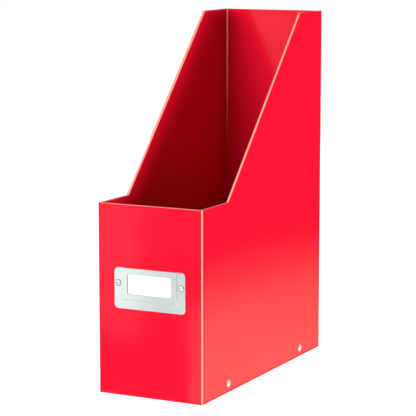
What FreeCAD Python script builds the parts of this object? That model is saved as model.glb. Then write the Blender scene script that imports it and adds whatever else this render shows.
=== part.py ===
import FreeCAD, Part
import math
import os

# All sizes are millimetres, all angles degrees

V = FreeCAD.Vector
X_AXIS, Y_AXIS, Z_AXIS = V(1, 0, 0), V(0, 1, 0), V(0, 0, 1)

# Case: X is its width, Y its depth with the front at -Y, Z its height
WIDTH = 103.0
DEPTH = 253.0
HEIGHT = 330.0
FRONT_HEIGHT = 171.0
FRONT_LEDGE = 51.0      # level stretch of a side wall's top edge, from the front face
REAR_LEDGE = 50.5       # level stretch at full height, from the back face
BOARD = 2.5
FOLD_RADIUS = 1.5       # outer rounding of a scored fold

# Glue tab: a thin tongue of the blank in a rebate of the back wall
TAB_WIDE = 18.0
TAB_THICK = 1.0
TAB_END_GAP = 3.0

# Base and its two flaps
BASE_GAP = 1.0          # base to front wall
FLAP_GAP = 2.5          # flap's outer face to side wall
FLAP_TALL = 19.5
FLAP_END_GAP = 6.0
FLAP_CORNER = 8.0
CREASE_GAP = 0.15       # flap's lower edge above the base

# Label holder: stamped sheet with a raised pocket, open at the top
PLATE_WIDE = 70.0
PLATE_TALL = 36.5
PLATE_BOTTOM = 78.5
PLATE_CORNER = 3.8
SHEET = 0.5
POCKET_WIDE = 54.0
POCKET_TALL = 28.5
POCKET_DEEP = 0.7
POCKET_CORNER = 2.0
POCKET_FOOT = 0.4       # inside rounding where the pocket rises from the rim
RIM_EDGE = 0.2          # rounding of the sheet's outer edges
WINDOW_MARGIN = 5.5
WINDOW_CORNER = 1.2
BEAD_WIDE = 20.0        # plain stiffening bead under the pocket
BEAD_TALL = 2.6
BEAD_END = 1.27         # rounding of the bead's ends, just under half its height
BEAD_PROUD = 0.25

# Label card
CARD_THICK = 0.35
CARD_GAP = 0.15
CARD_SIDE_GAP = 0.75

# Tubular rivets of the label holder
RIVET_HEAD = 3.0
RIVET_DOME = 1.1
RIVET_RAISE = 0.6       # rivets above the pocket's middle
DIMPLE_RADIUS = 0.7     # small hollow in the middle of a rivet's head
DIMPLE_DEEP = 0.5
RIVET_SHANK = 1.5
RIVET_BORE = 0.8
RIVET_ROLL = 2.3
WASHER_RADIUS = 4.0
WASHER_THICK = 0.5
HOLE_GAP = 0.1          # shank to hole, all round

# Press studs
SNAP_HEIGHT = 7.9
SNAP_FRONT = 51.5       # from the front face
SNAP_REAR = 46.5        # from the back face
CAP_RADIUS = 3.4
CAP_DOME = 1.0
CAP_BORE_END = 0.3      # bottom of the hollow shank's bore, inside the dome
SHANK_RADIUS = 1.6
SHANK_BORE = 0.9
SOCKET_RADIUS = 4.0
SOCKET_TALL = 3.0
SOCKET_RECESS = 1.0     # how far the socket is let into the wall
SOCKET_SHEET = 0.4
SOCKET_CAVITY = 3.3
SOCKET_MOUTH = 2.6
ROLL_RADIUS = 2.2
ROLL_THICK = 0.3
STUD_FLANGE = 3.6
STUD_SHEET = 0.5
STUD_BORE_END = 0.1
NECK_RADIUS = 0.9
NECK_FLARE = 0.3        # how far the neck widens, and over what length, at the flange
HEAD_RADIUS = 1.3
HEAD_TALL = 1.05
HEAD_TAPER = 0.3        # slope under the head
HEAD_BAND = 0.25        # straight band between that slope and the crown
HEAD_REACH = 2.5        # head's tip beyond the flap's outer face
POST_RADIUS = 0.8       # eyelet's post in the stud's bore
EYELET_FLANGE = 3.2
EYELET_SHEET = 0.4
WIRE_RADIUS = 0.2
WIRE_GAP = 0.05         # spring leg to stud neck
WIRE_LIFT = 0.3         # wire's centre above the inside of the socket's mouth
SPRING_TAIL = 2.4       # legs in front of the stud's axis
SPRING_REAR = 1.6       # legs behind it, up to the bend

# Working margins of the modelling itself
OVERCUT = 1.0           # how far a cutting shape runs past the surface that it cuts
TOUCHING = 0.01         # places closer than this are the same
PARALLEL = 0.9          # cosine above which an edge counts as running along an axis

# The case is centred on the origin together with what stands proud of its front
FRONT_PROUD = SHEET + RIVET_DOME
FRONT = (FRONT_PROUD - DEPTH) / 2
BACK = FRONT + DEPTH
SIDE = WIDTH / 2
SIDE_IN = SIDE - BOARD
FRONT_IN = FRONT + BOARD
BACK_IN = BACK - BOARD

FLAP_OUT = SIDE_IN - FLAP_GAP
FLAP_IN = FLAP_OUT - BOARD
FLAP_FRONT = FRONT_IN + FLAP_END_GAP
FLAP_BACK = BACK_IN - FLAP_END_GAP
FLAP_BOTTOM = BOARD + CREASE_GAP

PLATE_TOP = PLATE_BOTTOM + PLATE_TALL
POCKET_BOTTOM = PLATE_TOP - POCKET_TALL
POCKET_MIDDLE = PLATE_TOP - POCKET_TALL / 2
RIVET_X = (POCKET_WIDE + PLATE_WIDE) / 4
RIVET_Z = POCKET_MIDDLE + RIVET_RAISE

SIDES = {"left": -1, "right": 1}
SNAP_ROWS = {"front": FRONT + SNAP_FRONT, "rear": BACK - SNAP_REAR}


def block(x0, x1, y0, y1, z0, z1):
    """A box between two opposite corners, given in any order."""
    low = V(min(x0, x1), min(y0, y1), min(z0, z1))
    return Part.makeBox(abs(x1 - x0), abs(y1 - y0), abs(z1 - z0), low)


def prism(points, along):
    """A closed outline of points pushed along a vector."""
    return Part.Face(Part.makePolygon(points + points[:1])).extrude(along)


def turned(profile, place, direction):
    """A solid of revolution: (distance along, radius) points about an axis from a place."""
    outline = [V(radius, 0, along) for along, radius in profile]
    solid = Part.Face(Part.makePolygon(outline + outline[:1])).revolve(V(), Z_AXIS, 360)
    solid.Placement = FreeCAD.Placement(place, FreeCAD.Rotation(Z_AXIS, direction))
    return solid


def dome_profile(base, radius, height, steps=6):
    """Points of a shallow dome's arc from its rim to its crown, as (distance along, radius)."""
    sphere = (radius ** 2 + height ** 2) / (2 * height)
    rim_angle = math.asin(radius / sphere)
    points = []
    for step in range(steps + 1):
        angle = rim_angle * (1 - step / steps)
        points.append((base + height - sphere * (1 - math.cos(angle)), sphere * math.sin(angle)))
    return points


def runs_along_y(edge):
    return abs(edge.tangentAt(edge.FirstParameter).y) > PARALLEL


def edges_at(shape, **place):
    """The edges whose middle lies at the given coordinates, such as x=10, z=0."""
    return [
        edge for edge in shape.Edges
        if all(abs(getattr(edge.CenterOfMass, axis) - at) < TOUCHING for axis, at in place.items())
    ]


def rounded_plate(x0, x1, z0, z1, corner, y0, y1):
    """An upright plate in the XZ plane with rounded corners."""
    plate = block(x0, x1, y0, y1, z0, z1)
    return plate.makeFillet(corner, [edge for edge in plate.Edges if runs_along_y(edge)])


def cylinder_y(radius, y0, y1, x, z):
    return Part.makeCylinder(radius, y1 - y0, V(x, y0, z), Y_AXIS)


def cylinder_x(radius, x0, x1, y, z):
    return Part.makeCylinder(radius, abs(x1 - x0), V(min(x0, x1), y, z), X_AXIS)


# ---- walls ----

def front_panel():
    panel = block(-SIDE_IN, SIDE_IN, FRONT, FRONT_IN, 0, FRONT_HEIGHT)
    for side in SIDES.values():
        hole = cylinder_y(RIVET_SHANK + HOLE_GAP, FRONT, FRONT_IN, side * RIVET_X, RIVET_Z)
        panel = panel.cut(hole)
    return panel


def back_panel():
    """The base's fold fills the notch in the lower edge, and the glue tab the rebate outside."""
    panel = block(-SIDE_IN, SIDE_IN, BACK_IN, BACK, 0, HEIGHT)
    notch = block(-FLAP_IN, FLAP_IN, BACK_IN, BACK, 0, BOARD)
    return panel.cut(notch).cut(glue_tab())


def glue_tab():
    return block(-SIDE_IN, TAB_WIDE - SIDE_IN, BACK - TAB_THICK, BACK, TAB_END_GAP, HEIGHT - TAB_END_GAP)


def side_panel(side):
    """Low ledge at the front, slant, then level at full height; a seat for each stud socket inside."""
    outline = [
        (FRONT_IN, 0),
        (BACK_IN, 0),
        (BACK_IN, HEIGHT),
        (BACK - REAR_LEDGE, HEIGHT),
        (FRONT + FRONT_LEDGE, FRONT_HEIGHT),
        (FRONT_IN, FRONT_HEIGHT),
    ]
    panel = prism([V(side * SIDE_IN, y, z) for y, z in outline], V(side * BOARD, 0, 0))
    seat_end = side * (SIDE_IN + SOCKET_RECESS)
    for y in SNAP_ROWS.values():
        panel = panel.cut(cylinder_x(SOCKET_RADIUS + HOLE_GAP, side * SIDE_IN, seat_end, y, SNAP_HEIGHT))
        panel = panel.cut(cylinder_x(SHANK_RADIUS + HOLE_GAP, seat_end, side * SIDE, y, SNAP_HEIGHT))
    return panel


def upright_fold(side, end, height):
    """The square of board in a corner, its outer edge rounded; end is -1 at the front, 1 at the back."""
    y_in, y_out = (FRONT_IN, FRONT) if end < 0 else (BACK_IN, BACK)
    post = block(side * SIDE_IN, side * SIDE, y_in, y_out, 0, height)
    return post.makeFillet(FOLD_RADIUS, edges_at(post, x=side * SIDE, y=y_out))


# ---- base ----

def base_panel():
    return block(-FLAP_IN, FLAP_IN, FRONT_IN + BASE_GAP, BACK_IN, 0, BOARD)


def base_back_fold():
    strip = block(-FLAP_IN, FLAP_IN, BACK_IN, BACK, 0, BOARD)
    return strip.makeFillet(FOLD_RADIUS, edges_at(strip, y=BACK, z=0))


def flap_crease(side):
    strip = block(side * FLAP_IN, side * FLAP_OUT, FLAP_FRONT, FLAP_BACK, 0, BOARD)
    return strip.makeFillet(FOLD_RADIUS, edges_at(strip, x=side * FLAP_OUT, z=0))


def base_flap(side):
    """Upright flap with cut-off upper corners, drilled and sunk for its two studs."""
    top = FLAP_BOTTOM + FLAP_TALL
    outline = [
        (FLAP_FRONT, FLAP_BOTTOM),
        (FLAP_BACK, FLAP_BOTTOM),
        (FLAP_BACK, top - FLAP_CORNER),
        (FLAP_BACK - FLAP_CORNER, top),
        (FLAP_FRONT + FLAP_CORNER, top),
        (FLAP_FRONT, top - FLAP_CORNER),
    ]
    flap = prism([V(side * FLAP_IN, y, z) for y, z in outline], V(side * BOARD, 0, 0))
    stud_seat = side * (FLAP_OUT - STUD_SHEET)
    eyelet_seat = side * (FLAP_IN + EYELET_SHEET)
    for y in SNAP_ROWS.values():
        flap = flap.cut(cylinder_x(STUD_FLANGE + HOLE_GAP, stud_seat, side * FLAP_OUT, y, SNAP_HEIGHT))
        flap = flap.cut(cylinder_x(EYELET_FLANGE + HOLE_GAP, side * FLAP_IN, eyelet_seat, y, SNAP_HEIGHT))
        flap = flap.cut(cylinder_x(POST_RADIUS + HOLE_GAP, side * FLAP_IN, side * FLAP_OUT, y, SNAP_HEIGHT))
    return flap


# ---- label holder ----

def label_plate():
    """Flat rim with a raised pocket; the pocket is open above, and a window shows the card."""
    half, pocket = PLATE_WIDE / 2, POCKET_WIDE / 2
    rim_face = FRONT - SHEET
    pocket_face = rim_face - POCKET_DEEP
    rim = rounded_plate(-half, half, PLATE_BOTTOM, PLATE_TOP, PLATE_CORNER, rim_face, FRONT)
    rim = rim.makeFillet(RIM_EDGE, edges_on(rim, rim_face))
    raised = block(-pocket, pocket, pocket_face, FRONT, POCKET_BOTTOM, PLATE_TOP)
    lower = [edge for edge in edges_at(raised, z=POCKET_BOTTOM) if runs_along_y(edge)]
    raised = raised.makeFillet(POCKET_CORNER, lower)
    raised = raised.makeFillet(SHEET, edges_on(raised, pocket_face, PLATE_TOP))
    plate = rim.fuse(raised).removeSplitter()
    foot = [
        edge for edge in edges_on(plate, rim_face, PLATE_TOP)
        if abs(edge.CenterOfMass.x) < pocket + TOUCHING and edge.CenterOfMass.z > POCKET_BOTTOM - TOUCHING
    ]
    plate = plate.makeFillet(POCKET_FOOT, foot).fuse(bead(rim_face))
    inner = pocket - SHEET
    hollow = block(-inner, inner, FRONT - POCKET_DEEP, FRONT, POCKET_BOTTOM + SHEET, PLATE_TOP)
    window = rounded_plate(
        WINDOW_MARGIN - pocket, pocket - WINDOW_MARGIN,
        POCKET_BOTTOM + WINDOW_MARGIN, PLATE_TOP - WINDOW_MARGIN,
        WINDOW_CORNER, pocket_face - OVERCUT, FRONT,
    )
    plate = plate.cut(hollow).cut(window)
    window_edges = [edge for edge in edges_on(plate, pocket_face, PLATE_TOP) if inside_pocket(edge)]
    plate = plate.makeFillet(RIM_EDGE, window_edges)
    for side in SIDES.values():
        hole = cylinder_y(RIVET_SHANK + HOLE_GAP, rim_face, FRONT, side * RIVET_X, RIVET_Z)
        plate = plate.cut(hole)
    return plate


def edges_on(shape, y, below=math.inf):
    """The edges that lie in the plane of one Y, and below one height."""
    return [
        edge for edge in shape.Edges
        if edge.BoundBox.YMax - edge.BoundBox.YMin < TOUCHING
        and abs(edge.CenterOfMass.y - y) < TOUCHING
        and edge.CenterOfMass.z < below - TOUCHING
    ]


def inside_pocket(edge):
    """Whether an edge lies on the window's outline, and not further out."""
    half_wide = POCKET_WIDE / 2 - WINDOW_MARGIN + TOUCHING
    half_tall = POCKET_TALL / 2 - WINDOW_MARGIN + TOUCHING
    return abs(edge.CenterOfMass.x) < half_wide and abs(edge.CenterOfMass.z - POCKET_MIDDLE) < half_tall


def bead(rim_face):
    """Round-ended bar raised from the rim below the pocket."""
    half, middle = BEAD_WIDE / 2, (PLATE_BOTTOM + POCKET_BOTTOM) / 2
    low, high = middle - BEAD_TALL / 2, middle + BEAD_TALL / 2
    return rounded_plate(-half, half, low, high, BEAD_END, rim_face - BEAD_PROUD, FRONT)


def label_card():
    half = POCKET_WIDE / 2 - SHEET - CARD_SIDE_GAP
    near, far = FRONT - CARD_GAP, FRONT - CARD_GAP - CARD_THICK
    bottom = POCKET_BOTTOM + SHEET + CARD_GAP
    return block(-half, half, far, near, bottom, PLATE_TOP - SHEET)


def label_rivet(side):
    """Domed head with a dimple, and a hollow shank rolled over the washer inside."""
    start = FRONT - SHEET
    grip = SHEET + BOARD + WASHER_THICK
    roll_end = grip + ROLL_THICK
    dimple_floor = DIMPLE_DEEP - RIVET_DOME
    dome = [spot for spot in dome_profile(0, RIVET_HEAD, RIVET_DOME) if spot[1] > DIMPLE_RADIUS]
    profile = [(dimple_floor, 0), (dimple_floor, DIMPLE_RADIUS), (-RIVET_DOME, DIMPLE_RADIUS)]
    profile += [(-along, radius) for along, radius in reversed(dome)]
    profile += [
        (0, RIVET_SHANK),
        (grip, RIVET_SHANK),
        (grip, RIVET_ROLL),
        (roll_end, RIVET_ROLL),
        (roll_end, RIVET_BORE),
        (SHEET, RIVET_BORE),
        (SHEET, 0),
    ]
    return turned(profile, V(side * RIVET_X, start, RIVET_Z), Y_AXIS)


def rivet_washer(side):
    profile = [
        (0, RIVET_SHANK + HOLE_GAP),
        (0, WASHER_RADIUS),
        (WASHER_THICK, WASHER_RADIUS),
        (WASHER_THICK, RIVET_SHANK + HOLE_GAP),
    ]
    return turned(profile, V(side * RIVET_X, FRONT_IN, RIVET_Z), Y_AXIS)


# ---- press studs: each is turned about its own axis, measured outwards along X ----

def snap_cap(side, y):
    """Domed cap with a hollow shank through the wall, rolled over inside the socket."""
    floor = BOARD - SOCKET_RECESS + SOCKET_SHEET
    profile = [
        (-floor - ROLL_THICK, SHANK_BORE),
        (-floor - ROLL_THICK, ROLL_RADIUS),
        (-floor, ROLL_RADIUS),
        (-floor, SHANK_RADIUS),
        (0, SHANK_RADIUS),
    ]
    profile += dome_profile(0, CAP_RADIUS, CAP_DOME)
    profile += [(CAP_BORE_END, 0), (CAP_BORE_END, SHANK_BORE)]
    return turned(profile, V(side * SIDE, y, SNAP_HEIGHT), side * X_AXIS)


def snap_socket(side, y):
    """Cup with its mouth towards the flap: floor, wide cavity, narrower mouth."""
    floor = SIDE_IN + SOCKET_RECESS
    profile = [
        (0, SHANK_RADIUS + HOLE_GAP),
        (0, SOCKET_RADIUS),
        (-SOCKET_TALL, SOCKET_RADIUS),
        (-SOCKET_TALL, SOCKET_MOUTH),
        (SOCKET_SHEET - SOCKET_TALL, SOCKET_MOUTH),
        (SOCKET_SHEET - SOCKET_TALL, SOCKET_CAVITY),
        (-SOCKET_SHEET, SOCKET_CAVITY),
        (-SOCKET_SHEET, SHANK_RADIUS + HOLE_GAP),
    ]
    return turned(profile, V(side * floor, y, SNAP_HEIGHT), side * X_AXIS)


def snap_spring(side, y):
    """Hairpin of round wire in the socket's cavity; its legs pass above and below the stud's neck."""
    leg = NECK_RADIUS + WIRE_GAP + WIRE_RADIUS
    x = side * (SIDE_IN + SOCKET_RECESS - SOCKET_TALL + SOCKET_SHEET + WIRE_LIFT)
    start, bend = y - SPRING_TAIL, y + SPRING_REAR
    low, high = SNAP_HEIGHT - leg, SNAP_HEIGHT + leg
    path = Part.Wire([
        Part.LineSegment(V(x, start, low), V(x, bend, low)).toShape(),
        Part.Arc(V(x, bend, low), V(x, bend + leg, SNAP_HEIGHT), V(x, bend, high)).toShape(),
        Part.LineSegment(V(x, bend, high), V(x, start, high)).toShape(),
    ])
    section = Part.Wire([Part.makeCircle(WIRE_RADIUS, V(x, start, low), Y_AXIS)])
    return path.makePipeShell([section], True, False)


def snap_stud(side, y):
    """Flange sunk in the flap's outer face, neck, and a mushroom head in the socket."""
    flange_back = -STUD_SHEET
    shoulder = HEAD_REACH - HEAD_TALL
    band = shoulder + HEAD_TAPER
    crown = band + HEAD_BAND
    profile = [
        (flange_back, POST_RADIUS + HOLE_GAP),
        (flange_back, STUD_FLANGE),
        (0, STUD_FLANGE),
        (0, NECK_RADIUS + NECK_FLARE),
        (NECK_FLARE, NECK_RADIUS),
        (shoulder, NECK_RADIUS),
        (band, HEAD_RADIUS),
        (crown, HEAD_RADIUS),
    ]
    profile += dome_profile(crown, HEAD_RADIUS, HEAD_REACH - crown)[1:]
    profile += [(STUD_BORE_END, 0), (STUD_BORE_END, POST_RADIUS + HOLE_GAP)]
    return turned(profile, V(side * FLAP_OUT, y, SNAP_HEIGHT), side * X_AXIS)


def snap_eyelet(side, y):
    """Flange sunk in the flap's inner face, and a post that the stud is clenched on."""
    profile = [
        (0, 0),
        (0, EYELET_FLANGE),
        (EYELET_SHEET, EYELET_FLANGE),
        (EYELET_SHEET, POST_RADIUS),
        (BOARD, POST_RADIUS),
        (BOARD, 0),
    ]
    return turned(profile, V(side * FLAP_IN, y, SNAP_HEIGHT), side * X_AXIS)


def build():
    nodes = {
        "front_panel": front_panel(),
        "back_panel": back_panel(),
        "front_left_fold": upright_fold(-1, -1, FRONT_HEIGHT),
        "front_right_fold": upright_fold(1, -1, FRONT_HEIGHT),
        "back_left_fold": upright_fold(-1, 1, HEIGHT),
        "back_right_fold": upright_fold(1, 1, HEIGHT),
        "glue_tab": glue_tab(),
        "base_panel": base_panel(),
        "base_back_fold": base_back_fold(),
        "label_plate": label_plate(),
        "label_card": label_card(),
    }
    snap_pieces = {
        "cap": snap_cap,
        "socket": snap_socket,
        "spring": snap_spring,
        "stud": snap_stud,
        "eyelet": snap_eyelet,
    }
    for name, side in SIDES.items():
        nodes[f"{name}_side_panel"] = side_panel(side)
        nodes[f"{name}_base_flap"] = base_flap(side)
        nodes[f"{name}_flap_crease"] = flap_crease(side)
        nodes[f"label_rivet_{name}"] = label_rivet(side)
        nodes[f"rivet_washer_{name}"] = rivet_washer(side)
        for row, y in SNAP_ROWS.items():
            for piece, make in snap_pieces.items():
                nodes[f"snap_{piece}_{name}_{row}"] = make(side, y)
    return nodes


os.makedirs("parts", exist_ok=True)
for node, shape in build().items():
    solid = shape if shape.ShapeType == "Solid" else Part.Solid(shape.Shells[0])
    if solid.Volume < 0:
        solid = solid.reversed()
    print(f"{node:26s} {solid.Volume:12.2f} mm3  valid {solid.isValid()}")
    solid.exportStep(f"parts/{node}.step")
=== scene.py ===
import math

import bmesh
import bpy
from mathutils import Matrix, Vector


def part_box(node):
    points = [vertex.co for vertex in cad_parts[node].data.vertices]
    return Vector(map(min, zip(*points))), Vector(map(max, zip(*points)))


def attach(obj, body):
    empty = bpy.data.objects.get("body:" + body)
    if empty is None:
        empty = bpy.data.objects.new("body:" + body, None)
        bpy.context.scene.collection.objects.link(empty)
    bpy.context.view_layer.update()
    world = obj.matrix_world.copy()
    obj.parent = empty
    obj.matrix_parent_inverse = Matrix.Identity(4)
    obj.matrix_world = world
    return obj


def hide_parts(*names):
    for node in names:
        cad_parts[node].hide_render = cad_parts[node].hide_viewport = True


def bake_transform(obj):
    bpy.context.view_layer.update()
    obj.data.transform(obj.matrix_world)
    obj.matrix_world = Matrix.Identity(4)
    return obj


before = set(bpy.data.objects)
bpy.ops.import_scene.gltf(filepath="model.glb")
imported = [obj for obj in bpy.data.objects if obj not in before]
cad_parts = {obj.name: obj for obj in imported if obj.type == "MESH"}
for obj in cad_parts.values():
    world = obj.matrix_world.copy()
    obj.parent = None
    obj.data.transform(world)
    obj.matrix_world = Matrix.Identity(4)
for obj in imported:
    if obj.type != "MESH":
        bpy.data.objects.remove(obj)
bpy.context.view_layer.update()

# All sizes are metres. Places come from the boxes of the CAD nodes.
MM = 0.001

front_low, front_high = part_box("front_panel")
back_low, back_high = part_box("back_panel")
wall_low, wall_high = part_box("right_side_panel")
flap_low, flap_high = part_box("right_base_flap")
base_low, base_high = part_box("base_panel")
tab_low, tab_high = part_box("glue_tab")
card_low, card_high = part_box("label_card")

SIDE, SIDE_IN = wall_high.x, wall_low.x
FRONT, FRONT_IN = front_low.y, front_high.y
BACK, BACK_IN = back_high.y, back_low.y
TOP, FRONT_TOP = back_high.z, front_high.z
BOARD = SIDE - SIDE_IN
FLAP_IN, FLAP_OUT = flap_low.x, flap_high.x
THROUGH = 4 * BOARD    # long enough for a cutter to pass right through a board

# Outlines of the boards, and how their edges are rounded
FRONT_LEDGE = 51 * MM
REAR_LEDGE = 50.5 * MM
FLAP_CORNER = 8 * MM
FOLD_RADIUS = 1.5 * MM
CUT_ROUND = 0.25 * MM
FOOT_ROUND = 0.3 * MM
ROLLED_ROUND = 0.42 * MM    # where the film is drawn over a side wall's cut edge
THIN_ROUND = 0.12 * MM
BEAD_RADIUS = 0.9 * MM
# Painted highlight on the inner bead: its whitened film grows paler upwards between these heights, as
# where light falls in from above
BEAD_HIGHLIGHT_FROM, BEAD_HIGHLIGHT_TO = 190 * MM, 290 * MM    # heights between which a bead's film turns pale

# Rivets and press studs: radii, and lengths along their own axes
HOLE_GAP = 0.1 * MM
LABEL_SHEET = 0.5 * MM
SHANK_RADIUS = {"rivet": 1.5 * MM, "cap": 1.6 * MM, "eyelet": 0.8 * MM}
BORE_RADIUS = {"rivet": 0.8 * MM, "cap": 0.9 * MM}
ROLL_RADIUS = {"rivet": 2.3 * MM, "cap": 2.2 * MM}
ROLL_THICK = 0.3 * MM
DIMPLE_RADIUS = 0.7 * MM
DIMPLE_DEEP = 0.5 * MM
BORE_END = 0.3 * MM
SOCKET_RECESS = 1 * MM
SOCKET_TALL = 3 * MM
SOCKET_SHEET = 0.4 * MM
SOCKET_CAVITY = 3.3 * MM
SOCKET_MOUTH = 2.6 * MM
STUD_SHEET = 0.5 * MM
NECK_RADIUS = 0.9 * MM
NECK_FLARE = 0.3 * MM
HEAD_RADIUS = 1.3 * MM
HEAD_START, HEAD_BAND, HEAD_CROWN = 1.45 * MM, 1.75 * MM, 2.0 * MM
EYELET_SHEET = 0.4 * MM
METAL_ROUND = 0.12 * MM
SHEET_ROUND = 0.05 * MM

# How finely round stretches are divided, and the angle in degrees past which an edge stays sharp
ROUND_SEGMENTS = 3
CORNER_STEPS = 8
BEAD_STEPS = 6
CREASE_LAYERS = 10
WIRE_STEPS = 16
WIRE_ROUNDNESS = 3
SHARP_ANGLE = 40

SIDES = {"left": -1, "right": 1}
ROWS = ("front", "rear")


# ---- node materials ----

BEVEL_SAMPLES = 6


class Shader:
    """A Principled material with short calls for the nodes that the materials here share."""

    def __init__(self, name, **constants):
        self.material = bpy.data.materials.new(name)
        self.material.use_nodes = True
        self.nodes = self.material.node_tree.nodes
        self.links = self.material.node_tree.links
        self.surface = self.nodes["Principled BSDF"]
        self.place = self.nodes.new("ShaderNodeTexCoord").outputs["Object"]
        for socket, value in constants.items():
            self.surface.inputs[socket.replace("_", " ")].default_value = value

    def plug(self, value, socket):
        """Links a node's output to a socket, or sets a plain value on it."""
        if isinstance(value, bpy.types.NodeSocket):
            self.links.new(value, socket)
        else:
            socket.default_value = value

    def stretched(self, x, y, z):
        """Object coordinates multiplied along each axis."""
        node = self.nodes.new("ShaderNodeMapping")
        self.links.new(self.place, node.inputs["Vector"])
        node.inputs["Scale"].default_value = (x, y, z)
        return node.outputs["Vector"]

    def noise(self, scale, detail=2.0, roughness=0.5, vector=None):
        node = self.nodes.new("ShaderNodeTexNoise")
        self.links.new(vector or self.place, node.inputs["Vector"])
        node.inputs["Scale"].default_value = scale
        node.inputs["Detail"].default_value = detail
        node.inputs["Roughness"].default_value = roughness
        return node.outputs["Fac"]

    def remap(self, value, from_low, from_high, to_low=0.0, to_high=1.0):
        """A smooth step from one range to another, held at its ends."""
        node = self.nodes.new("ShaderNodeMapRange")
        node.interpolation_type = "SMOOTHSTEP"
        self.plug(value, node.inputs["Value"])
        node.inputs["From Min"].default_value = from_low
        node.inputs["From Max"].default_value = from_high
        node.inputs["To Min"].default_value = to_low
        node.inputs["To Max"].default_value = to_high
        return node.outputs["Result"]

    def math(self, operation, first, second=0.0):
        node = self.nodes.new("ShaderNodeMath")
        node.operation = operation
        self.plug(first, node.inputs[0])
        self.plug(second, node.inputs[1])
        return node.outputs["Value"]

    def axes(self):
        node = self.nodes.new("ShaderNodeSeparateXYZ")
        self.links.new(self.place, node.inputs["Vector"])
        return node.outputs["X"], node.outputs["Y"], node.outputs["Z"]

    def facing(self, axis):
        """How far the surface itself faces along one of the object's axes, from -1 to 1."""
        node = self.nodes.new("ShaderNodeSeparateXYZ")
        self.links.new(self.place.node.outputs["Normal"], node.inputs["Vector"])
        return node.outputs[axis]

    def mix(self, factor, first, second):
        node = self.nodes.new("ShaderNodeMix")
        node.data_type = "RGBA"
        self.plug(factor, node.inputs["Factor"])
        self.plug(first, node.inputs["A"])
        self.plug(second, node.inputs["B"])
        return node.outputs["Result"]

    def rounded(self, radius):
        """Normals as if every edge were rounded to a radius."""
        node = self.nodes.new("ShaderNodeBevel")
        node.samples = BEVEL_SAMPLES
        node.inputs["Radius"].default_value = radius
        return node.outputs["Normal"]

    def bump(self, height, distance, below=None):
        node = self.nodes.new("ShaderNodeBump")
        node.inputs["Distance"].default_value = distance
        node.inputs["Strength"].default_value = 1.0
        self.links.new(height, node.inputs["Height"])
        if below is not None:
            self.links.new(below, node.inputs["Normal"])
        return node.outputs["Normal"]

    def finish(self, colour, roughness, normal):
        self.plug(colour, self.surface.inputs["Base Color"])
        self.plug(roughness, self.surface.inputs["Roughness"])
        self.links.new(normal, self.surface.inputs["Normal"])
        return self.material


RED = (0.58, 0.0039, 0.0190, 1)
RED_DEEP = (0.55, 0.0035, 0.0176, 1)
CORE = (0.62, 0.26, 0.20, 1)
CORE_DARK = (0.58, 0.20, 0.15, 1)
# Whitened film with a painted highlight, for the top of the inner bead
BEAD_WHITE_AND_HIGHLIGHT = (1.0, 0.42, 0.38, 1)
PAPER_WHITE = (0.65, 0.65, 0.655, 1)
PAPER_SHADE = (0.61, 0.61, 0.62, 1)
# Near-black painted shade for metal edges and hollows; on the label plate's window it is also the dark
# cut edge
EDGE_AND_SHADE_DARK = (0.03, 0.03, 0.033, 1)
FLOOR_PALE = (0.30, 0.30, 0.30, 1)
FLOOR_SHADE = (0.28, 0.28, 0.285, 1)

# Red film: roughness from its smoothest to its dullest, what rubs add, and heights of its relief
FILM_IOR = 1.48
FILM_SMOOTH, FILM_DULL = 0.095, 0.12
RUB_ROUGHNESS = 0.04
PEEL_HEIGHT = 0.004 * MM
WAVE_HEIGHT = 0.15 * MM

# Board core and paper; the rates are how quickly plies change across and along them, per metre
PULP_IOR = 1.45
PLY_RATE, ALONG_RATE = 2600, 160
FIBRE_HEIGHT = 0.03 * MM
PLY_HEIGHT = 0.04 * MM
PAPER_HEIGHT = 0.02 * MM

# Scored folds: how ragged the pale film's edge is, how far from the fold's middle line it is
# wholly pale and where it ends, how deep in from outside the inner bead begins, and what
# stretching adds to roughness
RAGGED = 0.1 * MM
STRETCH_FULL, STRETCH_END = 0.5 * FOLD_RADIUS, 0.78 * FOLD_RADIUS
BEAD_START, BEAD_FULL = BOARD - 0.2 * MM, BOARD + 0.1 * MM
STRETCH_ROUGHNESS = 0.3
CRAZE_HEIGHT = 0.02 * MM

# Metal: what its colour is multiplied by in the grain, how far grain and smudges change its
# roughness, and heights of its relief
GRAIN_DARKER = 0.96
GRAIN_ROUGHNESS = 0.02
SMUDGE_ROUGHNESS = 0.03
DENT_HEIGHT = 0.01 * MM
GRAIN_HEIGHT = 0.001 * MM

# The floor
FLOOR_IOR = 1.3
FLOOR_GLOW = 0.92
FLOOR_ROUGHNESS = 0.6
FLOOR_HEIGHT = 0.05 * MM


def film_colour(shader):
    """The red film's colour, with a faint cloudiness and a fine mottle."""
    cloud = shader.remap(shader.noise(scale=14, detail=3), 0.35, 0.7)
    mottle = shader.remap(shader.noise(scale=1400), 0.4, 0.75, to_high=0.5)
    return shader.mix(shader.math("MAXIMUM", cloud, mottle), RED, RED_DEEP)


def film_finish(shader):
    """Roughness and normal of glossy film on board: orange peel, slight waviness, hairline rubs."""
    peel = shader.bump(shader.noise(scale=900), PEEL_HEIGHT)
    waves = shader.bump(shader.noise(scale=16, detail=1), WAVE_HEIGHT, below=peel)
    hair_lines = shader.stretched(6, 1, 14)
    hairs = shader.noise(scale=60, detail=4, roughness=0.7, vector=hair_lines)
    rub = shader.remap(hairs, 0.6, 0.8, to_high=RUB_ROUGHNESS)
    base = shader.remap(shader.noise(scale=220, detail=3), 0.3, 0.7, FILM_SMOOTH, FILM_DULL)
    return shader.math("ADD", base, rub), waves


def red_film():
    shader = Shader("red_film", IOR=FILM_IOR)
    roughness, normal = film_finish(shader)
    return shader.finish(film_colour(shader), roughness, normal)


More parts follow.
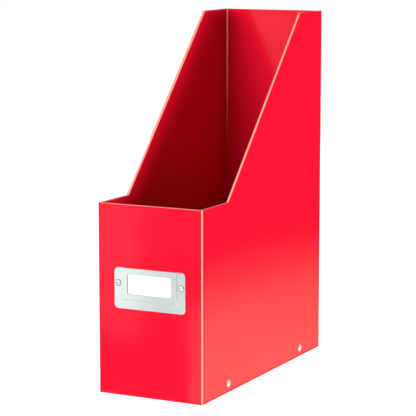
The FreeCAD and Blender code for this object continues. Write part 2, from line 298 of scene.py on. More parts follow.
def board_core(name, plies_along):
    """Pale dyed board seen on a cut edge; its plies change quickly along one axis only."""
    shader = Shader(name, IOR=PULP_IOR)
    stack = [PLY_RATE if axis == plies_along else ALONG_RATE for axis in "xyz"]
    plies = shader.noise(scale=1, detail=4, roughness=0.65, vector=shader.stretched(*stack))
    fibres = shader.noise(scale=1500, detail=3)
    colour = shader.mix(shader.remap(plies, 0.45, 0.75, to_high=0.7), CORE, CORE_DARK)
    rough = shader.remap(fibres, 0.3, 0.7, to_low=0.55, to_high=0.8)
    normal = shader.bump(fibres, FIBRE_HEIGHT, below=shader.bump(plies, PLY_HEIGHT))
    return shader.finish(colour, rough, normal)


def scored_film(name, whitening_and_highlight):
    """Film over a scored upright fold: paler where it is stretched round the corner outside,
    partly stress whitening and partly a painted highlight on the rounding, and paler towards
    the top of the bead inside, whitened film with a painted highlight that fades downwards."""
    shader = Shader(name, IOR=FILM_IOR)
    x, y, z = shader.axes()
    middle, half = (FRONT + BACK) / 2, (BACK - FRONT) / 2
    across = shader.math("SUBTRACT", SIDE, shader.math("ABSOLUTE", x))
    from_middle = shader.math("ABSOLUTE", shader.math("SUBTRACT", y, middle))
    inward = shader.math("SUBTRACT", half, from_middle)
    apart = shader.math("ABSOLUTE", shader.math("SUBTRACT", across, inward))
    tears = shader.noise(scale=500, detail=4, roughness=0.65)
    ragged = shader.remap(tears, 0.3, 0.7, to_low=-RAGGED, to_high=RAGGED)
    reach = shader.math("ADD", apart, ragged)
    # painted highlight, partly stress whitening: the film turns pale towards the middle line of the
    # rounded fold outside
    stretch = shader.remap(reach, STRETCH_FULL, STRETCH_END, to_low=whitening_and_highlight, to_high=0)
    bead = shader.remap(shader.math("MINIMUM", across, inward), BEAD_START, BEAD_FULL)
    # painted highlight: the bead's whitened film is paler towards the top, where light falls in
    bead_highlight = shader.math("MULTIPLY", bead, shader.remap(z, BEAD_HIGHLIGHT_FROM, BEAD_HIGHLIGHT_TO))
    outside = shader.math("MULTIPLY", stretch, shader.math("SUBTRACT", 1, bead))
    specks = shader.noise(scale=700, detail=3, roughness=0.7)
    flecks = shader.remap(specks, 0.5, 0.8, to_low=1, to_high=0.75)
    roughness, normal = film_finish(shader)
    colour = shader.mix(shader.math("MULTIPLY", outside, flecks), film_colour(shader), CORE)
    colour = shader.mix(bead_highlight, colour, BEAD_WHITE_AND_HIGHLIGHT)
    fine_cracks = shader.stretched(900, 900, 4200)
    crazing = shader.noise(scale=1, detail=3, roughness=0.6, vector=fine_cracks)
    dulled = shader.math("ADD", roughness, shader.math("MULTIPLY", stretch, STRETCH_ROUGHNESS))
    return shader.finish(colour, dulled, shader.bump(crazing, CRAZE_HEIGHT, below=normal))


def turned_from_y(shader, wholly, barely):
    """0 where the surface faces along Y, 1 where it is turned away from it. The normal's Y part
    is below wholly where it counts as wholly turned, and above barely where it doesn't count."""
    return shader.remap(shader.math("ABSOLUTE", shader.facing("Y")), wholly, barely, 1, 0)


def rivet_rim(shader):
    """1 round the foot of a rivet's dome and on the wall of its dimple, where painted shade goes: a
    near-black ring standing for the shade there.
    """
    return turned_from_y(shader, wholly=0.77, barely=0.9)


def window_edge(shader):
    """1 on the cut and rounded edges of the label plate that lie between the card's two sides
    and above its foot: the window's, and the top of the pocket over it. There the plate is
    painted near-black: a dark cut edge, widened by painted shade for the gap round the card."""
    x, _, z = shader.axes()
    cut = turned_from_y(shader, wholly=0.6, barely=0.97)
    beside = shader.math("LESS_THAN", shader.math("ABSOLUTE", x), card_high.x)
    between = shader.math("MULTIPLY", beside, shader.math("GREATER_THAN", z, card_low.z))
    return shader.math("MULTIPLY", cut, between)


def brushed_metal(name, colour, roughness, grain, bare=1.0, dark=None, soft_edges=0.1 * MM):
    """Sheet metal with a brushed grain; grain is how quickly it changes along X, Y and Z.
    bare is how much of it is bare metal rather than a pale dulled skin. dark is a mask of
    the edges and hollows that are painted near-black as shade. soft_edges is the radius that
    pressed edges are rounded to."""
    shader = Shader(name, Metallic=bare)
    lines = shader.noise(scale=1, detail=5, roughness=0.7, vector=shader.stretched(*grain))
    smudge = shader.noise(scale=90, detail=3)
    darker = tuple(GRAIN_DARKER * part for part in colour[:3]) + (1,)
    tint = shader.mix(shader.remap(lines, 0.3, 0.75), colour, darker)
    # painted shade: edges and hollows picked out by the dark mask are coloured near-black
    if dark:
        tint = shader.mix(dark(shader), tint, EDGE_AND_SHADE_DARK)
    rough = shader.math(
        "ADD",
        shader.remap(lines, 0.3, 0.7, roughness - GRAIN_ROUGHNESS, roughness + GRAIN_ROUGHNESS),
        shader.remap(smudge, 0.4, 0.7, to_high=SMUDGE_ROUGHNESS),
    )
    dents = shader.bump(smudge, DENT_HEIGHT, below=shader.rounded(soft_edges))
    return shader.finish(tint, rough, shader.bump(lines, GRAIN_HEIGHT, below=dents))


def card_paper():
    """White card stock, with fibres that run mostly across it."""
    shader = Shader("card_paper", IOR=PULP_IOR)
    fibre_lines = shader.stretched(900, 900, 2600)
    fibres = shader.noise(scale=1, detail=4, roughness=0.7, vector=fibre_lines)
    colour = shader.mix(shader.remap(fibres, 0.4, 0.8), PAPER_WHITE, PAPER_SHADE)
    rough = shader.remap(fibres, 0.3, 0.7, to_low=0.6, to_high=0.78)
    return shader.finish(colour, rough, shader.bump(fibres, PAPER_HEIGHT))


def light_table():
    """The floor: pale acrylic, lit a little from below so that it stays white far away."""
    shader = Shader("light_table", IOR=FLOOR_IOR, Emission_Strength=FLOOR_GLOW)
    grain = shader.noise(scale=40, detail=3)
    colour = shader.mix(shader.remap(grain, 0.3, 0.7), FLOOR_PALE, FLOOR_SHADE)
    shader.surface.inputs["Emission Color"].default_value = (1, 1, 1, 1)
    return shader.finish(colour, FLOOR_ROUGHNESS, shader.bump(grain, FLOOR_HEIGHT))


FILM = red_film()
CORE_X = board_core("core_plies_x", "x")
CORE_Y = board_core("core_plies_y", "y")
CORE_Z = board_core("core_plies_z", "z")
# Fold outsides pale from stress whitening plus a painted highlight, fully on two corners and faintly on
# the other two
PALE_LIT_FOLD = scored_film("pale_lit_fold", whitening_and_highlight=1.0)
FAINT_PALE_FOLD = scored_film("faint_pale_fold", whitening_and_highlight=0.06)
# The window's edges and the pocket's top take a dark cut-edge colour widened into painted shade
LABEL_STEEL = brushed_metal(
    "brushed_label", colour=(0.86, 0.95, 0.95, 1), roughness=0.15, grain=(120, 2600, 2600),
    bare=0.66, dark=window_edge, soft_edges=0.6 * MM,
)
NICKEL = brushed_metal(
    "bright_nickel", colour=(0.78, 0.81, 0.83, 1), roughness=0.20, grain=(700, 700, 700),
    bare=0.60,
)
# painted shade: a near-black ring round each rivet dome's foot and in its dimple
RIVET_NICKEL = brushed_metal(
    "rivet_nickel", colour=(0.86, 0.87, 0.88, 1), roughness=0.20, grain=(700, 700, 700),
    bare=0.60, dark=rivet_rim,
)
ZINC = brushed_metal(
    "dull_zinc", colour=(0.66, 0.67, 0.69, 1), roughness=0.34, grain=(900, 900, 900),
)
WIRE = brushed_metal(
    "drawn_wire", colour=(0.46, 0.47, 0.49, 1), roughness=0.30, grain=(1500, 1500, 1500),
)
PAPER = card_paper()


# ---- mesh code ----

def upright_x(u, v, depth):
    """Outline in X and Z, depth along Y."""
    return Vector((u, depth, v))


def upright_y(u, v, depth):
    """Outline in Y and Z, depth along X."""
    return Vector((depth, u, v))


def level(u, v, depth):
    """Outline in X and Y, depth along Z."""
    return Vector((u, v, depth))


def rectangle(u0, u1, v0, v1):
    return [(u0, v0), (u1, v0), (u1, v1), (u0, v1)]


def arc(centre_u, centre_v, radius, start, end, steps):
    """Points of a circular arc in a plane, angles in degrees."""
    points = []
    for step in range(steps + 1):
        angle = math.radians(start + (end - start) * step / steps)
        points.append((centre_u + radius * math.cos(angle), centre_v + radius * math.sin(angle)))
    return points


def new_object(name, builder, materials=()):
    """Turns a bmesh into a linked object."""
    bmesh.ops.recalc_face_normals(builder, faces=builder.faces)
    mesh = bpy.data.meshes.new(name)
    builder.to_mesh(mesh)
    builder.free()
    for material in materials:
        mesh.materials.append(material)
    thing = bpy.data.objects.new(name, mesh)
    bpy.context.scene.collection.objects.link(thing)
    return thing


def add_piece(name, builder, materials, node, body="case", cuts=(), bend_with=None):
    """A finished piece: cut, smoothed, riding a body and standing for a CAD node.
    bend_with, when given, keeps the piece off every body and bakes its place into its mesh; which flap it
    names is not used."""
    piece = new_object(name, builder, materials)
    for cut in cuts:
        carve(piece, cut)
    piece.data.shade_smooth()
    piece.data.set_sharp_from_angle(angle=math.radians(SHARP_ANGLE))
    if bend_with:
        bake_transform(piece)
    else:
        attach(piece, body)
    weighted = piece.modifiers.new("even_shading", "WEIGHTED_NORMAL")
    weighted.keep_sharp = True
    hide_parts(node)


def carve(piece, builder):
    """Cuts a shape from a piece; the cut's own faces show the piece's second material."""
    for face in builder.faces:
        face.material_index = 1
    cutter = new_object("cutter", builder)
    cut = piece.modifiers.new("cut", "BOOLEAN")
    cut.object = cutter
    cut.operation = "DIFFERENCE"
    cut.solver = "EXACT"
    graph = bpy.context.evaluated_depsgraph_get()
    carved = bpy.data.meshes.new_from_object(piece.evaluated_get(graph), depsgraph=graph)
    piece.modifiers.remove(cut)
    piece.data = carved
    bpy.data.objects.remove(cutter)


def prism(outline, place, low, high):
    """A straight prism over an outline of (u, v) points, with its two ends and its side faces.
    place(u, v, depth) gives the point in space."""
    solid = bmesh.new()
    near = [solid.verts.new(place(u, v, low)) for u, v in outline]
    far = [solid.verts.new(place(u, v, high)) for u, v in outline]
    ends = [solid.faces.new(near), solid.faces.new(list(reversed(far)))]
    rims = []
    for side in range(len(outline)):
        after = (side + 1) % len(outline)
        rims.append(solid.faces.new((near[after], near[side], far[side], far[after])))
    return solid, ends, rims


def block(low, high):
    """A plain rectangular cutter between two corners."""
    return prism(rectangle(low.x, high.x, low.y, high.y), level, low.z, high.z)[0]


def round_edges(solid, edges, radius, material):
    bmesh.ops.bevel(
        solid, geom=list(edges), offset=radius, offset_type="OFFSET", segments=ROUND_SEGMENTS,
        profile=0.5, affect="EDGES", clamp_overlap=True, material=material,
    )


def slab(outline, place, low, high, bare=(), foot=(), radius=CUT_ROUND):
    """A board panel. Side n runs from point n of the outline to the next. Sides numbered in
    bare are free cut edges, which show the core and are slightly rounded; those in foot are
    cut edges with the film drawn round. The rest butt."""
    board, ends, rims = prism(outline, place, low, high)
    bare_rims = [rims[side] for side in bare]
    foot_rims = [rims[side] for side in foot]
    for rim in (*bare_rims, *foot_rims):
        rim.material_index = 1
    bare_edges, foot_edges = [], []
    for edge in board.edges:
        beside = list(edge.link_faces)
        if any(face in foot_rims for face in beside) and any(face in ends for face in beside):
            foot_edges.append(edge)
        elif all(face in bare_rims or face in ends for face in beside):
            bare_edges.append(edge)
    if foot_edges:
        round_edges(board, foot_edges, FOOT_ROUND, 0)
    if bare_edges:
        round_edges(board, [edge for edge in bare_edges if edge.is_valid], radius, 1)
    return board


def lathe(profile, place, direction, turns=48):
    """A surface of revolution: closed (along, radius) profile about an axis from a place."""
    spun = bmesh.new()
    turn = Vector((0, 0, 1)).rotation_difference(Vector(direction)).to_matrix()
    rings = []
    for along, radius in profile:
        if radius == 0:
            rings.append([spun.verts.new(place + turn @ Vector((0, 0, along)))])
            continue
        ring = []
        for step in range(turns):
            angle = 2 * math.pi * step / turns
            spot = Vector((radius * math.cos(angle), radius * math.sin(angle), along))
            ring.append(spun.verts.new(place + turn @ spot))
        rings.append(ring)
    for ring, after in zip(rings, rings[1:] + rings[:1]):
        for step in range(turns):
            follow = (step + 1) % turns
            corners = [ring[step % len(ring)], ring[follow % len(ring)]]
            corners += [after[follow % len(after)], after[step % len(after)]]
            unique = list(dict.fromkeys(corners))
            if len(unique) > 2:
                spun.faces.new(unique)
    return spun


def bore(place, direction, radius, length):
    """A round cutter centred on a place."""
    profile = [(-length / 2, 0), (-length / 2, radius), (length / 2, radius), (length / 2, 0)]
    return lathe(profile, place, direction)


def softened(profile, radius, steps=4):
    """A closed (along, radius) profile with its real corners rounded; points on the axis stay."""
    straight = math.radians(155)
    longest_share = 0.45
    points = []
    for index, corner in enumerate(profile):
        here = Vector(corner)
        before = Vector(profile[index - 1]) - here
        after = Vector(profile[(index + 1) % len(profile)]) - here
        if here.y == 0 or before.angle(after) > straight:
            points.append(corner)
            continue
        reach = min(radius, longest_share * before.length, longest_share * after.length)
        start, end = here + before.normalized() * reach, here + after.normalized() * reach
        for step in range(steps + 1):
            share = step / steps
            spot = (1 - share) ** 2 * start + 2 * share * (1 - share) * here + share ** 2 * end
            points.append((spot.x, spot.y))
    return points


def dome(base, radius, height, steps=8):
    """Points of a shallow dome's arc from its rim to its crown, as (along, radius)."""
    sphere = (radius ** 2 + height ** 2) / (2 * height)
    rim_angle = math.asin(radius / sphere)
    points = []
    for step in range(steps):
        angle = rim_angle * (1 - step / steps)
        points.append((base + height - sphere * (1 - math.cos(angle)), sphere * math.sin(angle)))
    return [*points, (base + height, 0)]


def middle_of(node):
    low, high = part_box(node)
    return (low + high) / 2


def radius_of(node):
    """The radius of a turned CAD node, measured upright, across its axis."""
    low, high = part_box(node)
    return (high.z - low.z) / 2


# ---- the case ----

def front_wall():
    outline = rectangle(-SIDE_IN, SIDE_IN, 0, FRONT_TOP)
    board = slab(outline, upright_x, FRONT, FRONT_IN, bare=[2], foot=[0])
    hole_radius = SHANK_RADIUS["rivet"] + HOLE_GAP
    holes = [
        bore(middle_of(f"label_rivet_{name}"), (0, 1, 0), hole_radius, THROUGH)
        for name in SIDES
    ]
    add_piece("front_wall", board, [FILM, CORE_Y], "front_panel", cuts=holes)


def back_wall():
    """Notched below for the base's bend, and rebated outside for the seam tab."""
    outline = rectangle(-SIDE_IN, SIDE_IN, 0, TOP)
    board = slab(outline, upright_x, BACK_IN, BACK, bare=[2], foot=[0])
    notch_low = Vector((base_low.x, BACK_IN - BOARD, -BOARD))
    notch = block(notch_low, Vector((base_high.x, BACK + BOARD, BOARD)))
    rebate_low = Vector((tab_low.x - BOARD, tab_low.y, tab_low.z))
    rebate = block(rebate_low, Vector((tab_high.x, tab_high.y + BOARD, tab_high.z)))
    add_piece("back_wall", board, [FILM, CORE_Y], "back_panel", cuts=[notch, rebate])


def side_wall(name, side):
    """Low ledge at the front, slant, then level at full height; a seat for each socket inside.
    The outer film is drawn a little way over the cut edge."""
    outline = [
        (FRONT_IN, 0), (BACK_IN, 0), (BACK_IN, TOP), (BACK - REAR_LEDGE, TOP),
        (FRONT + FRONT_LEDGE, FRONT_TOP), (FRONT_IN, FRONT_TOP),
    ]
    board = slab(
        outline, upright_y, side * SIDE_IN, side * SIDE, bare=[2, 3, 4], foot=[0],
        radius=ROLLED_ROUND,
    )
    for face in board.faces:
        if abs(face.calc_center_median().x) > SIDE - ROLLED_ROUND:
            face.material_index = 0
    holes = []
    for row in ROWS:
        socket = f"snap_socket_{name}_{row}"
        seat = middle_of(socket)
        seat.x = side * SIDE_IN
        holes.append(bore(seat, (1, 0, 0), radius_of(socket) + HOLE_GAP, 2 * SOCKET_RECESS))
        holes.append(bore(seat, (1, 0, 0), SHANK_RADIUS["cap"] + HOLE_GAP, THROUGH))
    add_piece(f"{name}_wall", board, [FILM, CORE_X], f"{name}_side_panel", cuts=holes)


def corner_fold(name, side, end, height):
    """An upright scored fold: rounded outside, with a bead pressed up in the inner corner.
    The front-right and back-left corners take the fully pale film, partly stress whitening and partly a
    painted highlight; the other two take it faintly."""
    y_in, y_out = (FRONT_IN, FRONT) if end < 0 else (BACK_IN, BACK)
    thick = abs(y_out - y_in)
    outer = arc(SIDE - FOLD_RADIUS, thick - FOLD_RADIUS, FOLD_RADIUS, 0, 90, CORNER_STEPS)
    bead = arc(SIDE_IN, 0, BEAD_RADIUS, 180, 270, BEAD_STEPS)
    section = [(SIDE, 0), *outer, (SIDE_IN, thick), *bead]
    section = [(side * u, y_in + end * v) for u, v in section]
    rod, ends, rims = prism(section, level, 0, height)
    outside = rims[:len(outer) + 1]
    for cap in ends:
        cap.material_index = 1
    for cap, radius, material in ((ends[0], FOOT_ROUND, 0), (ends[1], CUT_ROUND, 1)):
        edges = [edge for edge in cap.edges if any(face in outside for face in edge.link_faces)]
        round_edges(rod, edges, radius, material)
    # painted highlight, partly stress whitening: front-right and back-left take the fully pale film
    film = PALE_LIT_FOLD if side * end < 0 else FAINT_PALE_FOLD
    add_piece(f"{name}_corner", rod, [film, CORE_Y], f"{name}_fold")


def seam_tab():
    outline = rectangle(tab_low.x, tab_high.x, tab_low.z, tab_high.z)
    tab = slab(outline, upright_x, tab_low.y, tab_high.y, bare=[0, 1, 2], radius=THIN_ROUND)
    add_piece("seam_tab", tab, [FILM, CORE_Y], "glue_tab")


def build_case():
    front_wall()
    back_wall()
    seam_tab()
    for name, side in SIDES.items():
        side_wall(name, side)
        corner_fold(f"front_{name}", side, -1, FRONT_TOP)
        corner_fold(f"back_{name}", side, 1, TOP)


# ---- base and flaps ----

def base_board():
    outline = rectangle(base_low.x, base_high.x, base_low.y, base_high.y)
    board = slab(outline, level, base_low.z, base_high.z, bare=[0, 1, 3], radius=FOOT_ROUND)
    add_piece("base_board", board, [FILM, CORE_Z], "base_panel")


def base_bend():
    """The base's turn up into the back wall, rounded below."""
    low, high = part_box("base_back_fold")
    outer = arc(high.y - FOLD_RADIUS, low.z + FOLD_RADIUS, FOLD_RADIUS, 0, -90, CORNER_STEPS)
    section = [(low.y, low.z), (low.y, high.z), (high.y, high.z), *outer]
    rod = prism(section, upright_y, low.x, high.x)[0]
    add_piece("base_bend", rod, [FILM, CORE_Y], "base_back_fold")


def flap_bend(name, side):
    """The scored strip between base and flap, in thin stacked layers, rounded off below on the outside.
    """
    low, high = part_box("right_flap_crease")
    tall = flap_low.z - low.z
    heights = [low.z + tall * layer / CREASE_LAYERS for layer in range(CREASE_LAYERS + 1)]
    strip = bmesh.new()
    rows = []
    for z in heights:
        above = max(0, FOLD_RADIUS - (z - low.z))
        inset = FOLD_RADIUS - math.sqrt(FOLD_RADIUS ** 2 - above ** 2)
        outer_x = high.x - inset
        ring = [(low.x, low.y), (outer_x, low.y), (outer_x, high.y), (low.x, high.y)]
        rows.append([strip.verts.new((side * x, y, z)) for x, y in ring])
    for row, over in zip(rows, rows[1:]):
        for corner in range(len(row)):
            after = (corner + 1) % len(row)
            strip.faces.new((row[corner], row[after], over[after], over[corner]))
    strip.faces.new(rows[0])
    strip.faces.new(list(reversed(rows[-1])))
    add_piece(
        f"{name}_flap_bend", strip, [FILM, CORE_X], f"{name}_flap_crease",
        bend_with=f"{name}_flap",
    )


def flap_board(name, side):
    """Upright flap with cut-off upper corners, sunk for its two studs and their eyelets."""
    outline = [
        (flap_low.y, flap_low.z), (flap_high.y, flap_low.z),
        (flap_high.y, flap_high.z - FLAP_CORNER), (flap_high.y - FLAP_CORNER, flap_high.z),
        (flap_low.y + FLAP_CORNER, flap_high.z), (flap_low.y, flap_high.z - FLAP_CORNER),
    ]
    board = slab(outline, upright_y, side * FLAP_IN, side * FLAP_OUT, bare=[1, 2, 3, 4, 5])
    holes = []
    for row in ROWS:
        for kind, face, sheet in (("stud", FLAP_OUT, STUD_SHEET), ("eyelet", FLAP_IN, EYELET_SHEET)):
            node = f"snap_{kind}_{name}_{row}"
            seat = middle_of(node)
            seat.x = side * face
            holes.append(bore(seat, (1, 0, 0), radius_of(node) + HOLE_GAP, 2 * sheet))
        holes.append(bore(seat, (1, 0, 0), SHANK_RADIUS["eyelet"] + HOLE_GAP, THROUGH))
    add_piece(
        f"{name}_flap_board", board, [FILM, CORE_X], f"{name}_base_flap",
        body=f"{name}_flap", cuts=holes,
    )


def build_base():
    base_board()
    base_bend()
    for name, side in SIDES.items():
        flap_bend(name, side)
        flap_board(name, side)


# ---- label holder ----

def label_rivet(name):
    """Domed head with a dimple, and a hollow shank rolled over the washer inside."""
    node = f"label_rivet_{name}"
    low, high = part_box(node)
    rim_face = FRONT - LABEL_SHEET
    roll = high.y - rim_face
    grip = roll - ROLL_THICK
    crown = rim_face - low.y
    head = [spot for spot in dome(0, radius_of(node), crown) if spot[1] > DIMPLE_RADIUS]
    profile = [(DIMPLE_DEEP - crown, 0), (DIMPLE_DEEP - crown, DIMPLE_RADIUS), (-crown, DIMPLE_RADIUS)]
    profile += [(-along, radius) for along, radius in reversed(head)]
    profile += [
        (0, SHANK_RADIUS["rivet"]), (grip, SHANK_RADIUS["rivet"]),
        (grip, ROLL_RADIUS["rivet"]), (roll, ROLL_RADIUS["rivet"]),
        (roll, BORE_RADIUS["rivet"]), (BORE_END, BORE_RADIUS["rivet"]), (BORE_END, 0),
    ]
    start = middle_of(node)
    start.y = rim_face
    turned = lathe(softened(profile, METAL_ROUND), start, (0, 1, 0))
    add_piece(f"rivet_{name}", turned, [RIVET_NICKEL], node)


def rivet_washer(name):
    node = f"rivet_washer_{name}"
    low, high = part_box(node)
    inner = SHANK_RADIUS["rivet"] + HOLE_GAP
    thick = high.y - low.y
    profile = [(0, inner), (0, radius_of(node)), (thick, radius_of(node)), (thick, inner)]
    start = middle_of(node)
    start.y = low.y
    turned = lathe(softened(profile, METAL_ROUND), start, (0, 1, 0))
    add_piece(f"washer_{name}", turned, [ZINC], node)


def label_card():
    outline = rectangle(card_low.x, card_high.x, card_low.z, card_high.z)
    sheet = slab(outline, upright_x, card_low.y, card_high.y, bare=[0, 1, 2, 3], radius=SHEET_ROUND)
    add_piece("paper_card", sheet, [PAPER, PAPER], "label_card", body="label_card")


def build_label():
    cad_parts["label_plate"].material_slots[0].material = LABEL_STEEL
    label_card()
    for name in SIDES:
        label_rivet(name)
        rivet_washer(name)


# ---- press studs: profiles are measured outwards along X from the face that each one sits on ----

def cap_profile(node):
    """Domed cap with a hollow shank through the wall, rolled over inside the socket."""
    low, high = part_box(node)
    seat = -(BOARD - SOCKET_RECESS + SOCKET_SHEET)
    height = high.x - low.x + seat - ROLL_THICK
    return [
        (seat - ROLL_THICK, BORE_RADIUS["cap"]), (seat - ROLL_THICK, ROLL_RADIUS["cap"]),
        (seat, ROLL_RADIUS["cap"]), (seat, SHANK_RADIUS["cap"]), (0, SHANK_RADIUS["cap"]),
        *dome(0, radius_of(node), height), (BORE_END, 0), (BORE_END, BORE_RADIUS["cap"]),
    ]


def socket_profile(node):
    """Cup with its mouth towards the flap: floor, wide cavity, narrower mouth."""
    outer, inner = radius_of(node), SHANK_RADIUS["cap"] + HOLE_GAP
    lip = SOCKET_SHEET - SOCKET_TALL
    return [
        (0, inner), (0, outer), (-SOCKET_TALL, outer), (-SOCKET_TALL, SOCKET_MOUTH),
        (lip, SOCKET_MOUTH), (lip, SOCKET_CAVITY), (-SOCKET_SHEET, SOCKET_CAVITY), (-SOCKET_SHEET, inner),
    ]


def stud_profile(node):
    """Flange sunk in the flap's outer face, neck, and a mushroom head in the socket."""
    low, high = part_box(node)
    reach = high.x - low.x - STUD_SHEET
    inner = SHANK_RADIUS["eyelet"] + HOLE_GAP
    return [
        (-STUD_SHEET, inner), (-STUD_SHEET, radius_of(node)), (0, radius_of(node)),
        (0, NECK_RADIUS + NECK_FLARE), (NECK_FLARE, NECK_RADIUS), (HEAD_START, NECK_RADIUS),
        (HEAD_BAND, HEAD_RADIUS), *dome(HEAD_CROWN, HEAD_RADIUS, reach - HEAD_CROWN),
        (HOLE_GAP, 0), (HOLE_GAP, inner),
    ]


def eyelet_profile(node):
    """Flange sunk in the flap's inner face, and a post that the stud is clenched on."""
    post = SHANK_RADIUS["eyelet"]
    return [
        (0, 0), (0, radius_of(node)), (EYELET_SHEET, radius_of(node)),
        (EYELET_SHEET, post), (BOARD, post), (BOARD, 0),
    ]


def snap_spring(name, row):
    """Hairpin of round wire: two legs past the stud's neck, and a round bend."""
    node = f"snap_spring_{name}_{row}"
    low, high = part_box(node)
    wire = (high.x - low.x) / 2
    middle = (low + high) / 2
    leg = (high.z - low.z) / 2 - wire
    bend_y = high.y - wire - leg
    bend = arc(bend_y, middle.z, leg, -90, 90, WIRE_STEPS)
    path = [(low.y, middle.z - leg), *bend, (low.y, middle.z + leg)]
    curve = bpy.data.curves.new(f"spring_{name}_{row}", "CURVE")
    curve.dimensions = "3D"
    curve.bevel_depth = wire
    curve.bevel_resolution = WIRE_ROUNDNESS
    curve.use_fill_caps = True
    line = curve.splines.new("POLY")
    line.points.add(len(path) - 1)
    for point, (y, z) in zip(line.points, path):
        point.co = (middle.x, y, z, 1)
    curve.materials.append(WIRE)
    spring = bpy.data.objects.new(f"spring_{name}_{row}", curve)
    bpy.context.scene.collection.objects.link(spring)
    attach(spring, "case")
    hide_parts(node)


def build_snaps():
    kinds = {
        "cap": (cap_profile, SIDE, "case", NICKEL),
        "socket": (socket_profile, SIDE_IN + SOCKET_RECESS, "case", ZINC),
        "stud": (stud_profile, FLAP_OUT, "flap", NICKEL),
        "eyelet": (eyelet_profile, FLAP_IN, "flap", ZINC),
    }
    for name, side in SIDES.items():
        for row in ROWS:
            snap_spring(name, row)
            for kind, (profile, face, rides, metal) in kinds.items():
                node = f"snap_{kind}_{name}_{row}"
                start = middle_of(node)
                start.x = side * face
                turned = lathe(softened(profile(node), METAL_ROUND), start, (side, 0, 0))
                body = "case" if rides == "case" else f"{name}_flap"
                add_piece(f"{kind}_{name}_{row}", turned, [metal], node, body=body)


# ---- camera, floor and light ----

def place_camera():
    """Looks from the front right and a little above. The camera is moved bodily a little to the
    left and down, which frames the file off centre without a lens shift."""
    azimuth, elevation = math.radians(26.91), math.radians(8.85)
    distance, aim_height = 1.68707, 0.165
    move_right, move_up = -6.50 * MM, -12.82 * MM
    sensor_millimetres, lens_millimetres = 36, 157.65
    back = Vector((
        math.sin(azimuth) * math.cos(elevation),
        -math.cos(azimuth) * math.cos(elevation),
        math.sin(elevation),
    ))
    right = Vector((math.cos(azimuth), math.sin(azimuth), 0))
    up = back.cross(right)
    aim = Vector((0, (FRONT + BACK) / 2, aim_height))
    camera_data = bpy.data.cameras.new("camera")
    camera_data.sensor_width = sensor_millimetres
    camera_data.lens = lens_millimetres
    camera = bpy.data.objects.new("camera", camera_data)
    bpy.context.scene.collection.objects.link(camera)
    camera.location = aim + distance * back + move_right * right + move_up * up
    camera.rotation_mode = "QUATERNION"
    camera.rotation_quaternion = (-back).to_track_quat("-Z", "Y")
    bpy.context.scene.camera = camera


def lay_floor():
    reach = 40.0
    floor_level = -0.1 * MM
    sheet = bmesh.new()
    corners = rectangle(-reach, reach, -reach, reach)
    sheet.faces.new([sheet.verts.new((x, y, floor_level)) for x, y in corners])
    floor = new_object("floor", sheet, [light_table()])
    floor.visible_glossy = False


# What the gloss sees: a pool of light on the floor that fades out sideways and to the rear, stops
# short in front and is shaded along the foot of the side walls, and a dimmer white bounce card
# standing to the front left. Edges are places on the front wall's plane; a slope is how far an edge
# moves along X for each metre along Y.
POOL_BRIGHT = 0.89
POOL_FRONT_TINT = (1.0, 1.0, 0.9, 1)
POOL_SIDE_TINT = (1.0, 1.0, 0.66, 1)
POOL_FULL, POOL_END = 0.18, 0.40
POOL_BACK = 0.85
POOL_FRONT = -0.5
POOL_FRONT_SOFT = 0.05
POOL_EDGE = 0.039
POOL_DARK, POOL_LIT = POOL_EDGE - 6 * MM, POOL_EDGE + 4 * MM
POOL_SLOPE = 0.507
BEHIND_SOFT = 10 * MM
FOOT_SHADE = 4 * MM
BOUNCE_BRIGHT = 0.44
BOUNCE_EDGE = -0.013
BOUNCE_SOFT = 12 * MM
BOUNCE_SLOPE = 0.552
BOUNCE_NEAR, BOUNCE_FAR = -0.27, -0.41
BOUNCE_STANDS = -0.7
BOUNCE_HEIGHT = 0.42
BOUNCE_FADE_FROM = 0.8 * BOUNCE_HEIGHT


def skewed(shader, x, from_front, slope):
    """X measured from a line that runs back from the front wall's plane at a slope."""
    return shader.math("SUBTRACT", x, shader.math("MULTIPLY", from_front, slope))


def pool_strength(shader, x, y, from_front, behind):
    """The pool of light. In front it is lit to the right of its edge. Behind the front wall's
    plane it is lit on both sides, but not in a strip a little wider than the file, which runs
    under the file and on behind it."""
    pool_side = skewed(shader, x, from_front, POOL_SLOPE)
    across = shader.math("ABSOLUTE", x)
    sideways = shader.remap(across, POOL_FULL, POOL_END, POOL_BRIGHT, 0)
    beside = shader.remap(pool_side, POOL_DARK, POOL_LIT)
    stops = shader.remap(y, POOL_FRONT - POOL_FRONT_SOFT, POOL_FRONT + POOL_FRONT_SOFT)
    rearwards = shader.math("DIVIDE", shader.math("MAXIMUM", y, 0), POOL_BACK)
    dims = shader.math("MAXIMUM", shader.math("SUBTRACT", 1, rearwards), 0)
    lengthways = shader.math("MULTIPLY", stops, dims)
    lit = shader.math("MAXIMUM", beside, behind)
    off_wall = shader.remap(across, SIDE, SIDE + FOOT_SHADE)
    clear = shader.math("MAXIMUM", off_wall, shader.math("SUBTRACT", 1, behind))
    spread = shader.math("MULTIPLY", sideways, lengthways)
    return shader.math("MULTIPLY", spread, shader.math("MULTIPLY", lit, clear))


def bounce_strength(shader, x, y, z, from_front):
    """The bounce card and the floor at its foot. Both fade out to the right, the floor towards
    the file and the card at its top."""
    card_side = skewed(shader, x, from_front, BOUNCE_SLOPE)
    sideways = shader.remap(
        card_side, BOUNCE_EDGE - BOUNCE_SOFT, BOUNCE_EDGE + BOUNCE_SOFT, BOUNCE_BRIGHT, 0,
    )
    starts = shader.remap(y, BOUNCE_FAR, BOUNCE_NEAR, 1, 0)
    top = shader.remap(z, BOUNCE_FADE_FROM, BOUNCE_HEIGHT, 1, 0)
    return shader.math("MULTIPLY", sideways, shader.math("MULTIPLY", starts, top))


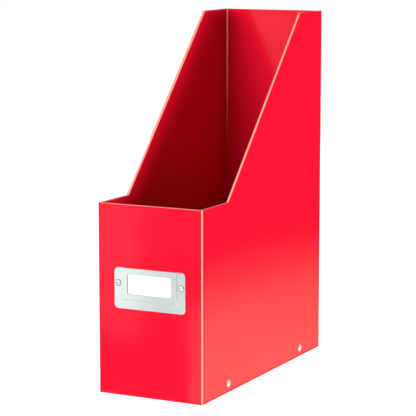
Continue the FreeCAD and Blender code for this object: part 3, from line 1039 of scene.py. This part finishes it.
def reflector_light():
    """Emission over the floor and the card, by place."""
    shader = Shader("reflector_light")
    x, y, z = shader.axes()
    from_front = shader.math("SUBTRACT", y, FRONT)
    behind = shader.remap(from_front, -BEHIND_SOFT, 0)
    pool = pool_strength(shader, x, y, from_front, behind)
    card = bounce_strength(shader, x, y, z, from_front)
    surface = shader.nodes.new("ShaderNodeEmission")
    shader.links.new(shader.mix(behind, POOL_FRONT_TINT, POOL_SIDE_TINT), surface.inputs["Color"])
    shader.links.new(shader.math("MAXIMUM", pool, card), surface.inputs["Strength"])
    output = shader.nodes["Material Output"]
    shader.links.new(surface.outputs["Emission"], output.inputs["Surface"])
    return shader.material


def stand_reflectors():
    """Only reflections see these, as with flags and cards kept out of a studio picture."""
    reach = 2.5
    sheet = bmesh.new()
    floor_corners = rectangle(-reach, reach, BOUNCE_STANDS, reach)
    sheet.faces.new([sheet.verts.new((x, y, 0)) for x, y in floor_corners])
    card_corners = rectangle(-reach, 0, 0, BOUNCE_HEIGHT)
    sheet.faces.new([sheet.verts.new((x, BOUNCE_STANDS, z)) for x, z in card_corners])
    reflectors = new_object("reflectors", sheet, [reflector_light()])
    reflectors.visible_camera = False
    reflectors.visible_diffuse = False
    reflectors.visible_shadow = False
    reflectors.visible_transmission = False


LIGHT_DISTANCE = 1.8


def soft_box(name, azimuth, elevation, width, height, power):
    """A rectangular light aimed at the middle of the file. Azimuth is in degrees round from the
    front towards the right."""
    around, above = math.radians(azimuth), math.radians(elevation)
    towards = Vector((
        math.sin(around) * math.cos(above),
        -math.cos(around) * math.cos(above),
        math.sin(above),
    ))
    light_data = bpy.data.lights.new(name, "AREA")
    light_data.shape = "RECTANGLE"
    light_data.size, light_data.size_y = width, height
    light_data.energy = power
    light = bpy.data.objects.new(name, light_data)
    bpy.context.scene.collection.objects.link(light)
    light.visible_glossy = False
    light.location = Vector((0, 0, TOP / 2)) + LIGHT_DISTANCE * towards
    light.rotation_mode = "QUATERNION"
    light.rotation_quaternion = towards.to_track_quat("Z", "Y")


# The sky's strength for soft light and at its palest in gloss, and how far a reflection points
# upwards, from 0 to 1, where the sky starts to turn pale and where it is palest
SKY_SOFT = 0.29
SKY_GLOSS = 0.45
SKY_DARK_BELOW, SKY_PALE_ABOVE = 0.03, 0.45


def studio_sky():
    """White behind the file; soft light from all round; in gloss, dark below and paler above."""
    world = bpy.data.worlds.new("studio")
    world.use_nodes = True
    nodes, links = world.node_tree.nodes, world.node_tree.links
    place = nodes.new("ShaderNodeTexCoord").outputs["Generated"]
    axes = nodes.new("ShaderNodeSeparateXYZ")
    links.new(place, axes.inputs["Vector"])
    climb = nodes.new("ShaderNodeMapRange")
    climb.inputs["From Min"].default_value = SKY_DARK_BELOW
    climb.inputs["From Max"].default_value = SKY_PALE_ABOVE
    climb.inputs["To Max"].default_value = SKY_GLOSS
    links.new(axes.outputs["Z"], climb.inputs["Value"])
    ray = nodes.new("ShaderNodeLightPath")
    indirect = nodes.new("ShaderNodeMix")
    indirect.inputs["A"].default_value = SKY_SOFT
    links.new(ray.outputs["Is Glossy Ray"], indirect.inputs["Factor"])
    links.new(climb.outputs["Result"], indirect.inputs["B"])
    strength = nodes.new("ShaderNodeMix")
    strength.inputs["B"].default_value = 1.0
    links.new(ray.outputs["Is Camera Ray"], strength.inputs["Factor"])
    links.new(indirect.outputs["Result"], strength.inputs["A"])
    background = nodes["Background"]
    background.inputs["Color"].default_value = (1, 1, 1, 1)
    links.new(strength.outputs["Result"], background.inputs["Strength"])
    bpy.context.scene.world = world


def light_scene():
    bpy.context.scene.view_settings.view_transform = "Standard"
    studio_sky()
    soft_box("key", azimuth=-19, elevation=14, width=1.2, height=0.8, power=50)
    soft_box("right_fill", azimuth=90, elevation=3, width=1.0, height=0.4, power=44)
    soft_box("rear_fill", azimuth=222, elevation=2, width=1.0, height=0.5, power=26)


build_case()
build_base()
build_label()
build_snaps()
place_camera()
lay_floor()
stand_reflectors()
light_scene()
